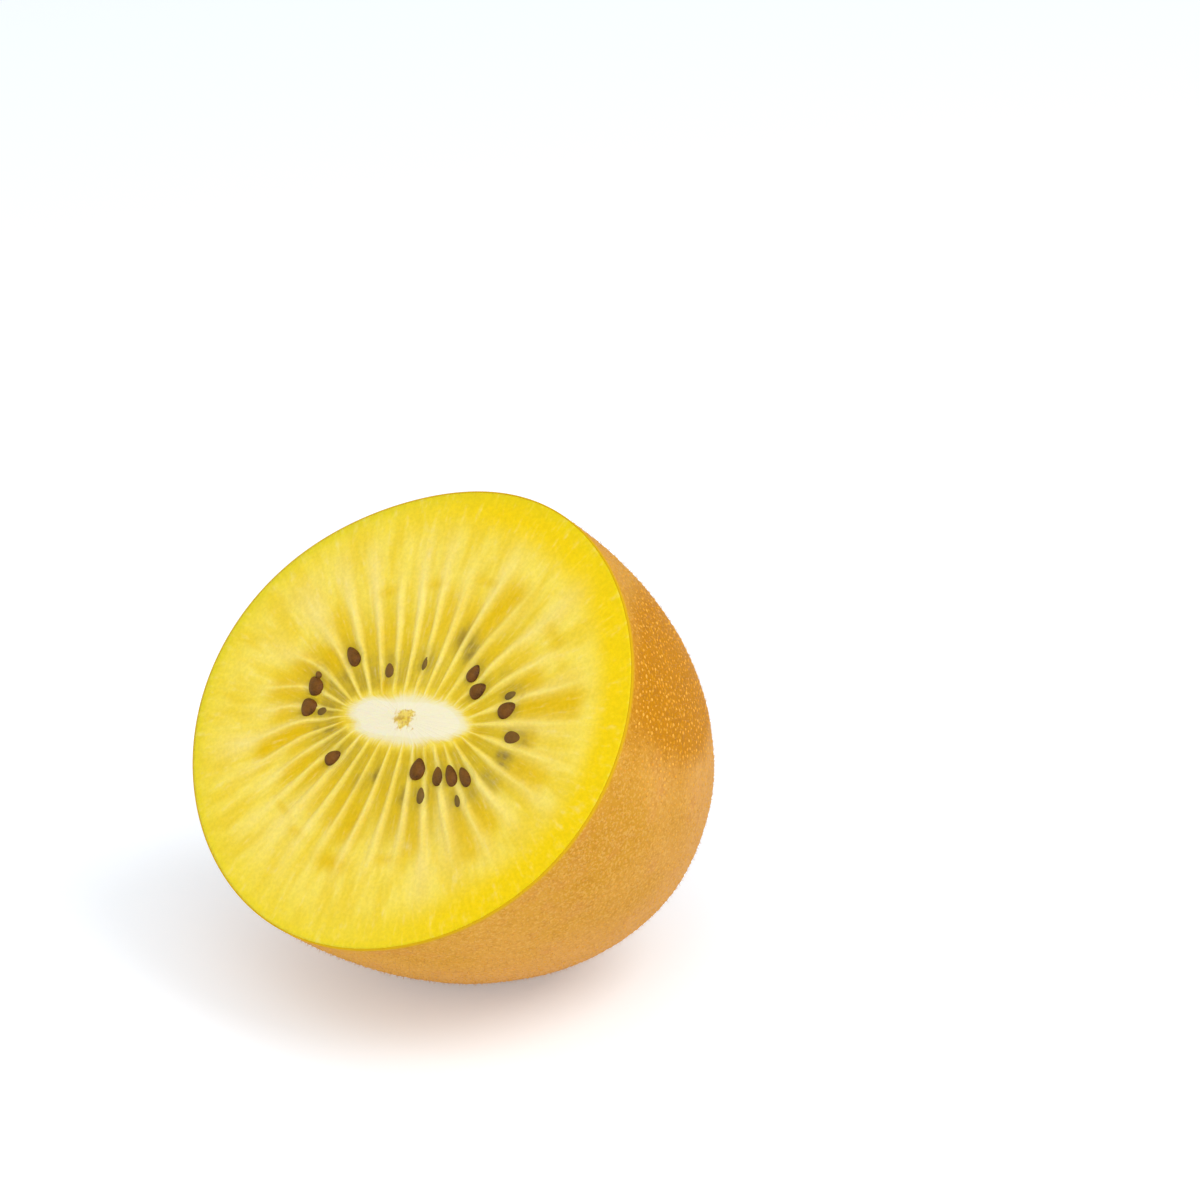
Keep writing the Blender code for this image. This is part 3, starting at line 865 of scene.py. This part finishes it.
def make_pore_material():
    material, tree, shader, place = new_material("corky pore")
    patches = grain(tree, place, 1200.0)
    # Pores are painted brighter near the amber patch, with the painted glow of light through the skin
    plain = ramp(tree, distance_from_amber_glow(tree, place), 1.2 * AMBER_GLOW_REACH, 0.6 * AMBER_GLOW_REACH, 0.3, 1.0)
    color = tint(tree, ramp(tree, patches, 0.35, 0.65), srgb("e49c2c"), srgb("f4b64a"))
    feed(tree, shader, {
        "Base Color": tint(tree, plain, srgb("d69c44"), color),
        "Roughness": 0.75,
        "Specular IOR Level": 0.1,
        "Normal": relief(tree, patches, 0.4, 0.05 * MM),
    })
    return material


pores = show("pores", grow("pores", skin_mesh.copy(), make_pore_tree(), make_pore_material()))
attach(pores, "root")

# The down
# Fine, short, pale brown hairs that are left on the skin after most have rubbed off. Each stands out of the
# skin on its own root and leans its own way, and they show best where the skin turns out of sight.
HAIR_SPACING = 0.62 * MM
HAIR_LENGTHS = (0.25 * MM, 0.6 * MM)
HAIR_RADIUS = 0.018 * MM
HAIR_BEND = 0.35
HAIR_LEAN = 0.7
HAIR_SIDES = 3
HAIR_JOINTS = 3
HAIR_SEED = 21


def make_hair_tree():
    tree, given, result = new_tree("down", {
        "Spacing": ("NodeSocketFloat", HAIR_SPACING),
        "Least Length": ("NodeSocketFloat", HAIR_LENGTHS[0]),
        "Greatest Length": ("NodeSocketFloat", HAIR_LENGTHS[1]),
        "Radius": ("NodeSocketFloat", HAIR_RADIUS),
        "Bend": ("NodeSocketFloat", HAIR_BEND),
        "Lean": ("NodeSocketFloat", HAIR_LEAN),
        "Seed": ("NodeSocketInt", HAIR_SEED),
        "Material": ("NodeSocketMaterial", None),
    })
    points = scatter(tree, given["Geometry"], given["Spacing"], given["Seed"])
    spike = add_node(tree, "GeometryNodeMeshCone", {
        "Vertices": HAIR_SIDES, "Side Segments": HAIR_JOINTS,
        "Radius Top": 0.0, "Radius Bottom": 1.0, "Depth": 1.0,
    })
    spot = add_node(tree, "GeometryNodeInputPosition").outputs[0]
    height = add_node(tree, "ShaderNodeSeparateXYZ", {0: spot}).outputs["Z"]
    # The spike is squeezed to the hair's radius later, and drawn out to its length. Its bend is in radii here
    reach = calc(tree, "MULTIPLY", given["Bend"], given["Greatest Length"])
    reach = calc(tree, "DIVIDE", reach, given["Radius"])
    aside = calc(tree, "MULTIPLY", calc(tree, "MULTIPLY", height, height), reach)
    offset = add_node(tree, "ShaderNodeCombineXYZ", {"X": aside}).outputs[0]
    bent = add_node(tree, "GeometryNodeSetPosition", {"Geometry": spike.outputs["Mesh"], "Offset": offset})
    scale = add_node(tree, "ShaderNodeCombineXYZ", {
        "X": given["Radius"],
        "Y": given["Radius"],
        "Z": random_number(tree, given["Least Length"], given["Greatest Length"], given["Seed"]),
    }).outputs[0]
    other_way = calc(tree, "MULTIPLY", given["Lean"], -1.0)
    lean = add_node(tree, "ShaderNodeCombineXYZ", {
        "X": random_number(tree, other_way, given["Lean"], 11),
        "Y": random_number(tree, other_way, given["Lean"], 12),
        "Z": random_number(tree, 0.0, 2.0 * math.pi, 13),
    }).outputs[0]
    placed = plant(tree, points, bent.outputs[0], lean, scale)
    finish_tree(tree, placed, given["Material"], result)
    return tree


def make_hair_material():
    material, tree, shader, place = new_material("pale down")
    color = tint(tree, grain(tree, place, 400.0), srgb("c08638"), srgb("e6b674"))
    feed(tree, shader, {"Base Color": color, "Roughness": 0.6, "Specular IOR Level": 0.3})
    return material


down_hairs = show("down_hairs", grow("down", skin_mesh.copy(), make_hair_tree(), make_hair_material()))
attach(down_hairs, "root")

# The stem scar
# Where the stalk broke away the skin ends in a rough, corky, lumpy ring of lighter brown round a small dark
# pit. It grew on the fruit's end, and sits in the dip there.
SCAR_RADIUS = 2.7 * MM
SCAR_OUTER_RADIUS = 4.4 * MM
SCAR_RAGGEDNESS = 0.13
SCAR_BASE = 0.45 * MM
SCAR_HEIGHT = 0.40 * MM
SCAR_RING_WIDTH = 0.95 * MM
SCAR_ROUGHNESS = 0.14 * MM
# How deep its edge is let into the skin, and its inner side under the skin
SCAR_EDGE_DEPTH = 0.06 * MM
SCAR_ROOT_DEPTH = 1.6 * MM
PIT_RADIUS = 1.5 * MM
PIT_DEPTH = 0.30 * MM
# Distances from the scar's middle over which its colour changes, and how ragged these changes are
PIT_FADE = (1.9 * MM, 1.1 * MM)
SCAR_FADE = (3.0 * MM, 4.2 * MM)
FADE_RAGGEDNESS = 1.6 * MM
SCAR_COLUMNS = 160
SCAR_ROWS = 40


def make_scar_mesh():
    shape = bmesh.new()
    bmesh.ops.create_uvsphere(shape, u_segments=SCAR_COLUMNS, v_segments=2 * SCAR_ROWS, radius=1.0)
    for vertex in shape.verts:
        across = math.hypot(vertex.co.x, vertex.co.y)
        angle = math.atan2(vertex.co.y, vertex.co.x)
        # The share is 0 in the scar's middle, 1 at its edge, and up to 2 again under it
        share = math.atan2(across, -vertex.co.z) / math.pi * 2.0
        out = min(share, 2.0 - share)
        outward = Vector((math.cos(angle), math.sin(angle), 0.0))
        swing = SCAR_RAGGEDNESS * noise.fractal(outward * 2.3, 0.9, 2.0, 3)
        radius = SCAR_OUTER_RADIUS * out * (1.0 + swing)
        place = radius * outward
        curve = (1.0 - (radius / section_radius(angle)) ** PROFILE_POWER) ** (1.0 / PROFILE_POWER)
        skin_depth = curve * (LENGTH - DIMPLE_DEPTH * math.exp(-((radius / DIMPLE_RADIUS) ** 2)))
        rough = SCAR_ROUGHNESS * noise.fractal(place * 900.0, 0.8, 2.0, 4)
        lumpy = 0.75 + 0.35 * noise.noise(place * 420.0 + Vector((3.0, 5.0, 7.0)))
        ring = SCAR_HEIGHT * lumpy * math.exp(-(((radius - SCAR_RADIUS) / SCAR_RING_WIDTH) ** 2))
        pit = PIT_DEPTH * math.exp(-((radius / PIT_RADIUS) ** 4))
        base = SCAR_BASE * (1.0 - out**3) - SCAR_EDGE_DEPTH * out**3
        proud = base + ring - pit + rough * (1.0 - out**6)
        if share > 1.0:
            proud = -SCAR_ROOT_DEPTH * (1.0 - out**4)
        vertex.co = (place.x, place.y, -skin_depth - proud)
    mesh = bpy.data.meshes.new("stem_scar")
    shape.to_mesh(mesh)
    shape.free()
    return mesh


def make_scar_material():
    material, tree, shader, place = new_material("corky scar")
    centre = CUT_CENTRE + Matrix.Rotation(TILT, 3, "X") @ Vector((0.0, 0.0, -LENGTH))
    off = add_node(tree, "ShaderNodeVectorMath", {0: place, 1: centre}, operation="DISTANCE").outputs["Value"]
    crumbs = grain(tree, place, 1300.0, detail=4.0, roughness=0.65)
    patches = grain(tree, place, 420.0)
    color = tint(tree, ramp(tree, patches, 0.35, 0.65), srgb("b87430"), srgb("dd9f52"))
    color = tint(tree, ramp(tree, crumbs, 0.55, 0.35, 0.0, 0.7), color, srgb("7a4a1c"))
    off = ragged(tree, off, crumbs, FADE_RAGGEDNESS)
    color = tint(tree, ramp(tree, off, *SCAR_FADE, 0.0, 0.8), color, srgb("cd964a"))
    color = tint(tree, ramp(tree, off, *PIT_FADE, 0.0, 0.92), color, srgb("3a2412"))
    feed(tree, shader, {
        "Base Color": color,
        "Roughness": 0.85,
        "Specular IOR Level": 0.2,
        "Normal": relief(tree, crumbs, 0.8, 0.2 * MM),
    })
    return material


scar_mesh = make_scar_mesh()
scar_mesh.materials.append(make_scar_material())
place_on_table(scar_mesh)
scar = show("stem_scar", scar_mesh)
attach(scar, "root")

# The stage
# A plain white floor, lit a little from below as a light table is, under soft, even studio light, and the
# camera where the photograph was taken from. One wide lamp is high on the right and one behind the camera.
FLOOR_SIZE = 6.0
FLOOR_COLOR = (0.87, 0.88, 0.89, 1.0)
FLOOR_GLOW_COLOR = (0.8, 1.0, 1.2, 1.0)
FLOOR_GLOW = 0.23
CAMERA_AZIMUTH = math.radians(42.8)
CAMERA_ELEVATION = math.radians(22.0)
CAMERA_DISTANCE = 371.0 * MM
CAMERA_LENS_MM = 110.0
CAMERA_SENSOR_MM = 36.0
PHOTO_SIDE = 1200
CUT_CENTRE_PIXEL = (405.9, 715.4)
SKY_STRENGTH = 0.65
# Name, way from the cut face to the right, to the camera and up, size, power in watts
LAMPS = (
    ("key", 0.60, 0.25, 0.68, 0.6, 3.7),
    ("fill", -0.10, 0.60, 0.45, 0.8, 2.6),
)

floor_shape = bmesh.new()
bmesh.ops.create_grid(floor_shape, x_segments=1, y_segments=1, size=FLOOR_SIZE / 2.0)
floor_mesh = bpy.data.meshes.new("floor")
floor_shape.to_mesh(floor_mesh)
floor_shape.free()
floor_material, floor_tree, floor_shader, _ = new_material("white floor")
feed(floor_tree, floor_shader, {
    "Base Color": FLOOR_COLOR,
    "Emission Color": FLOOR_GLOW_COLOR,
    "Emission Strength": FLOOR_GLOW,
    "Roughness": 0.9,
    "Specular IOR Level": 0.1,
})
floor_mesh.materials.append(floor_material)
floor = bpy.data.objects.new("floor", floor_mesh)
bpy.context.scene.collection.objects.link(floor)

world = bpy.data.worlds.new("studio")
world.use_nodes = True
sky = {"Color": (1.0, 1.0, 1.0, 1.0), "Strength": SKY_STRENGTH}
feed(world.node_tree, world.node_tree.nodes["Background"], sky)
bpy.context.scene.world = world
bpy.context.scene.view_settings.view_transform = "Standard"

back = Vector((
    math.sin(CAMERA_AZIMUTH) * math.cos(CAMERA_ELEVATION),
    -math.cos(CAMERA_AZIMUTH) * math.cos(CAMERA_ELEVATION),
    math.sin(CAMERA_ELEVATION),
))
right = Vector((math.cos(CAMERA_AZIMUTH), math.sin(CAMERA_AZIMUTH), 0.0))
up = back.cross(right)
metres_per_pixel = CAMERA_DISTANCE * CAMERA_SENSOR_MM / CAMERA_LENS_MM / PHOTO_SIDE
aside = (CUT_CENTRE_PIXEL[0] - PHOTO_SIDE / 2) * metres_per_pixel
above = (PHOTO_SIDE / 2 - CUT_CENTRE_PIXEL[1]) * metres_per_pixel
camera_data = bpy.data.cameras.new("camera")
camera_data.lens = CAMERA_LENS_MM
camera_data.sensor_width = CAMERA_SENSOR_MM
camera_data.dof.use_dof = False
camera = bpy.data.objects.new("camera", camera_data)
camera.location = CUT_CENTRE + CAMERA_DISTANCE * back - aside * right - above * up
camera.rotation_euler = back.to_track_quat("Z", "Y").to_euler()
bpy.context.scene.collection.objects.link(camera)
bpy.context.scene.camera = camera

for name, to_right, to_camera, higher, size, power in LAMPS:
    lamp_data = bpy.data.lights.new(name, "AREA")
    lamp_data.size = size
    lamp_data.energy = power
    lamp = bpy.data.objects.new(name, lamp_data)
    lamp.location = CUT_CENTRE + to_right * right + to_camera * back + Vector((0.0, 0.0, higher))
    lamp.rotation_euler = (lamp.location - CUT_CENTRE).to_track_quat("Z", "Y").to_euler()
    bpy.context.scene.collection.objects.link(lamp)
